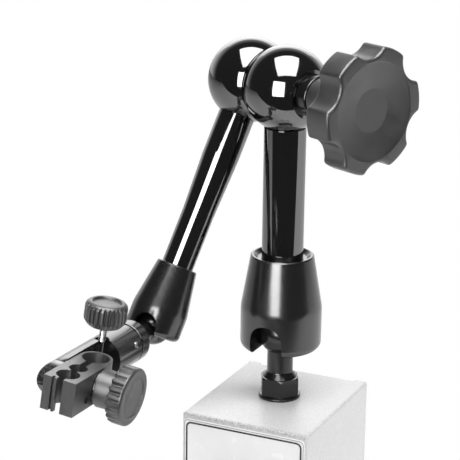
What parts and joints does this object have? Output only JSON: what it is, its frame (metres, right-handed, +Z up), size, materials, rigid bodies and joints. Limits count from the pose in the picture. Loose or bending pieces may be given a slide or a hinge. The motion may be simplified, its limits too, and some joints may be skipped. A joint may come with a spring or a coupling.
{
  "type": "articulated indicator holder",
  "caption": "Articulated indicator holder: two ball-ended arms locked by one knob, on a switchable magnetic base, with a fine-adjusting stem clamp.",
  "frame": {"origin": "centre of the base's footprint, on the plane that the base stands on", "axes": "+Z up, -Y towards the switch and name plate, +X to the right of the switch as seen from the front"},
  "size_m": [0.0965, 0.1459, 0.1962],
  "materials": {
    "base_paint": "satin fine-textured light grey paint, bare ground steel underneath",
    "name_plate": "gloss white plate with a black rounded border",
    "black_oxide": "semi-gloss blackened steel",
    "gloss_black": "mirror-gloss black coating",
    "satin_black": "satin black coating",
    "knob_plastic": "matte moulded dark grey plastic",
    "bright_steel": "bright turned steel",
    "brass": "turned brass",
    "magnet": "sintered ferrite magnet in a steel drum"
  },
  "bodies": {
    "base": {"base_pole_left": "base_paint", "base_pole_right": "base_paint", "base_spacer": "base_paint", "front_plate": "name_plate", "rotor_bearing": "brass", "detent_ball": "bright_steel", "detent_spring": "bright_steel", "stop_pin": "bright_steel", "base_stud": "black_oxide"},
    "switch": {"rotor_magnet": "magnet", "rotor_shaft": "bright_steel", "switch_knob": "knob_plastic", "switch_screw": "bright_steel"},
    "lower_ball": {"lower_ball": "black_oxide"},
    "column": {"lower_socket": "satin_black", "lower_socket_pin": "bright_steel", "column_tube": "gloss_black", "lower_knuckle": "gloss_black", "elbow_washer": "black_oxide", "thrust_collar": "black_oxide"},
    "lower_rod": {"lower_push_rod": "bright_steel", "lower_ball_seat": "brass"},
    "tie_bolt": {"tie_bolt": "black_oxide", "lower_taper": "brass", "upper_taper": "brass"},
    "star_knob": {"star_knob": "knob_plastic", "knob_insert": "brass"},
    "arm": {"upper_knuckle": "gloss_black", "arm_tube": "gloss_black", "upper_socket": "satin_black", "upper_socket_pin": "bright_steel"},
    "upper_rod": {"upper_push_rod": "bright_steel", "upper_ball_seat": "brass"},
    "upper_ball": {"upper_ball": "black_oxide"},
    "head_stud": {"head_stud": "black_oxide"},
    "fine_lever": {"lever_body": "black_oxide", "hinge_pin": "bright_steel", "lever_spring": "bright_steel", "clamp_screw": "bright_steel"},
    "fine_tip": {"fine_tip": "black_oxide"},
    "fine_knob": {"fine_screw": "bright_steel", "fine_knob": "knob_plastic"},
    "clamp_block": {"clamp_block": "black_oxide"},
    "clamp_washer": {"clamp_washer": "black_oxide"},
    "clamp_knob": {"clamp_knob": "knob_plastic", "clamp_insert": "brass"}
  },
  "joints": [
    {"name": "switch_turn", "type": "hinge", "parent": "base", "child": "switch", "pos_m": [0, -0.03, 0.024], "axis": [0, -1, 0], "range_deg": [0, 90]},
    {"name": "column_yaw", "type": "hinge", "parent": "base", "child": "lower_ball", "pos_m": [0, 0.002, 0.0806], "axis": [0, 0, 1], "continuous": true},
    {"name": "column_tilt", "type": "hinge", "parent": "lower_ball", "child": "column", "pos_m": [0, 0.002, 0.0806], "axis": [1, 0, 0], "range_deg": [-12, 60]},
    {"name": "lower_rod_slide", "type": "slide", "parent": "column", "child": "lower_rod", "axis": [0, 0, 1], "range_m": [0, 0.00037]},
    {"name": "star_knob_turn", "type": "hinge", "parent": "column", "child": "star_knob", "pos_m": [0, 0.002, 0.174], "axis": [0.915, -0.4035, 0], "range_deg": [0, 180]},
    {"name": "tie_bolt_slide", "type": "slide", "parent": "column", "child": "tie_bolt", "axis": [-0.915, 0.4035, 0], "range_m": [0, 0.000625]},
    {"name": "elbow", "type": "hinge", "parent": "column", "child": "arm", "pos_m": [-0.01757, 0.00975, 0.174], "axis": [-0.915, 0.4035, 0], "range_deg": [-12, 200]},
    {"name": "upper_rod_slide", "type": "slide", "parent": "arm", "child": "upper_rod", "axis": [0.1891, 0.4287, 0.8834], "range_m": [0, 0.00037]},
    {"name": "head_tilt", "type": "hinge", "parent": "arm", "child": "upper_ball", "pos_m": [-0.03606, -0.03219, 0.08757], "axis": [0.9766, 0.0117, -0.2147], "range_deg": [-22.4, 80.6]},
    {"name": "head_roll", "type": "hinge", "parent": "upper_ball", "child": "head_stud", "pos_m": [-0.03606, -0.03219, 0.08757], "axis": [0.0227, -0.9985, 0.0488], "continuous": true},
    {"name": "fine_knob_turn", "type": "hinge", "parent": "fine_tip", "child": "fine_knob", "pos_m": [-0.03531, -0.07433, 0.08966], "axis": [0.1277, 0.0514, 0.9905], "range_deg": [-360, 360]},
    {"name": "fine_lever_tilt", "type": "hinge", "parent": "head_stud", "child": "fine_lever", "pos_m": [-0.03504, -0.0604, 0.09193], "axis": [0.9916, 0.0162, -0.1286], "range_deg": [-2.1, 2.1]},
    {"name": "fine_screw_feed", "type": "slide", "parent": "fine_lever", "child": "fine_tip", "axis": [0.1277, 0.0514, 0.9905], "range_m": [-0.0005, 0.0005]},
    {"name": "clamp_swivel", "type": "hinge", "parent": "fine_lever", "child": "clamp_block", "pos_m": [-0.0345, -0.09757, 0.09137], "axis": [0.9916, 0.0162, -0.1286], "continuous": true},
    {"name": "clamp_knob_turn", "type": "hinge", "parent": "clamp_washer", "child": "clamp_knob", "pos_m": [-0.0345, -0.09757, 0.09137], "axis": [0.9916, 0.0162, -0.1286], "range_deg": [0, 180]},
    {"name": "clamp_feed", "type": "slide", "parent": "fine_lever", "child": "clamp_washer", "axis": [0.9916, 0.0162, -0.1286], "range_m": [0, 0.00035]}
  ],
  "couplings": [
    {"joint": "star_knob_turn", "follows": "tie_bolt_slide", "rad_per_m": 5026.5},
    {"joint": "lower_rod_slide", "follows": "tie_bolt_slide", "ratio": 0.57735},
    {"joint": "upper_rod_slide", "follows": "tie_bolt_slide", "ratio": 0.57735},
    {"joint": "fine_knob_turn", "follows": "fine_screw_feed", "rad_per_m": 12566},
    {"joint": "fine_lever_tilt", "follows": "fine_screw_feed", "rad_per_m": 72.464},
    {"joint": "clamp_knob_turn", "follows": "clamp_feed", "rad_per_m": 8976}
  ]
}
